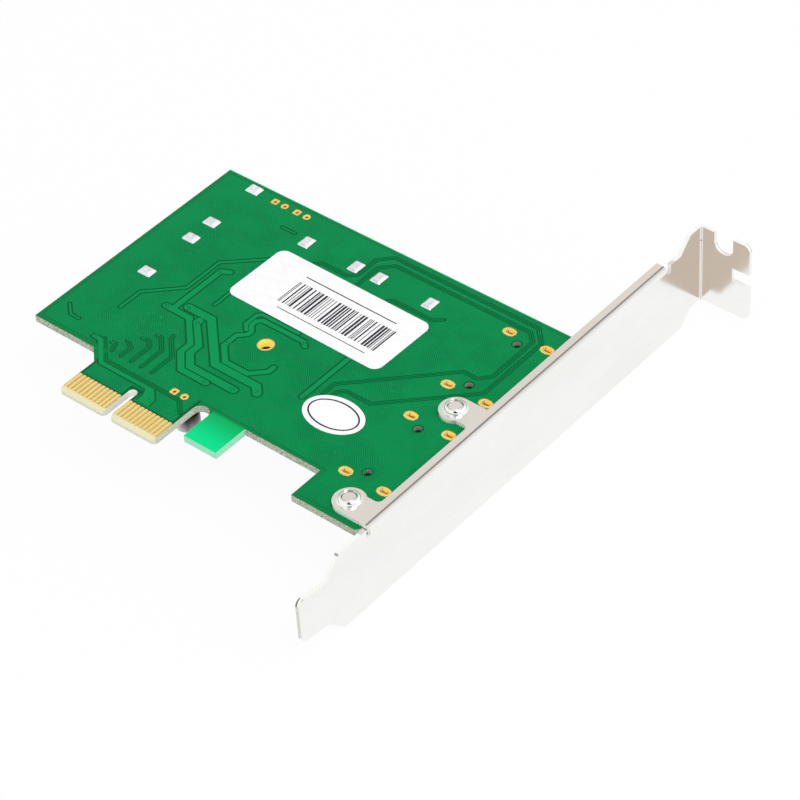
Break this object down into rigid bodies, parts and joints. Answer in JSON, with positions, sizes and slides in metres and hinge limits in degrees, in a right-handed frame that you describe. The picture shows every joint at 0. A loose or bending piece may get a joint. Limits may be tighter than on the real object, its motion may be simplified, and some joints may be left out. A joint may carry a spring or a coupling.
{
  "type": "sata raid card",
  "caption": "Storage controller card with internal SATA ports, gold edge contacts and a plain plated slot bracket, lying solder side up.",
  "frame": {"origin": "card edge datum: the key notch's centre line at the insertion edge of the gold contacts, half way through the board", "axes": "+X along the card towards the bracket, +Y from the edge contacts to the card's top edge, +Z out of the solder side"},
  "size_m": [0.1019, 0.1201, 0.0216],
  "materials": {
    "green_board": "glossy green solder mask over glass laminate",
    "masked_ground": "copper under green solder mask",
    "masked_tracks": "copper under green solder mask",
    "masked_pairs": "thin copper under green solder mask",
    "gold_plating": "hard gold plating",
    "solder": "bright solder",
    "bracket_plating": "bright nickel plated steel",
    "screw_plating": "nickel plated steel",
    "moulding_black": "moulded epoxy",
    "tin_plating": "matt tin",
    "thermal_pad": "soft grey filler",
    "black_anodising": "black anodised extrusion",
    "ferrite": "pressed ferrite powder",
    "crystal_ceramic": "fired ceramic",
    "crystal_metal": "plated lid",
    "can_aluminium": "drawn aluminium",
    "capacitor_ceramic": "fired ceramic",
    "resistor_black": "glazed black",
    "label_paper": "coated white paper",
    "port_plastic": "glass filled black plastic",
    "contact_gold": "gold flash"
  },
  "bodies": {
    "root": {"board_lock_solder": "solder", "bracket": "bracket_plating", "bracket_screws": "screw_plating", "capacitor_base": "moulding_black", "capacitor_can": "can_aluminium", "capacitor_leads": "tin_plating", "chip_capacitor_ends": "tin_plating", "chip_capacitors": "capacitor_ceramic", "chip_resistor_ends": "tin_plating", "chip_resistors": "resistor_black", "circuit_board": "green_board", "controller_chip": "moulding_black", "controller_terminals": "tin_plating", "crystal_base": "crystal_ceramic", "crystal_lid": "crystal_metal", "edge_contacts_component_side": "gold_plating", "edge_contacts_solder_side": "gold_plating", "flash_chip": "moulding_black", "flash_leads": "tin_plating", "header_pads": "gold_plating", "heat_sink": "black_anodising", "inspection_sticker": "label_paper", "mounting_hole_plating": "gold_plating", "port_slot_plating": "gold_plating", "power_inductors": "ferrite", "product_label": "label_paper", "regulator_chips": "moulding_black", "regulator_leads": "tin_plating", "sata_board_locks_1": "tin_plating", "sata_board_locks_2": "tin_plating", "sata_board_locks_3": "tin_plating", "sata_board_locks_4": "tin_plating", "sata_contacts_1": "contact_gold", "sata_contacts_2": "contact_gold", "sata_contacts_3": "contact_gold", "sata_contacts_4": "contact_gold", "sata_housing_1": "port_plastic", "sata_housing_2": "port_plastic", "sata_housing_3": "port_plastic", "sata_housing_4": "port_plastic", "solder_side_ground_copper": "masked_ground", "solder_side_power_tracks": "masked_tracks", "solder_side_signal_pairs": "masked_pairs", "thermal_pad": "thermal_pad"}
  },
  "joints": []
}
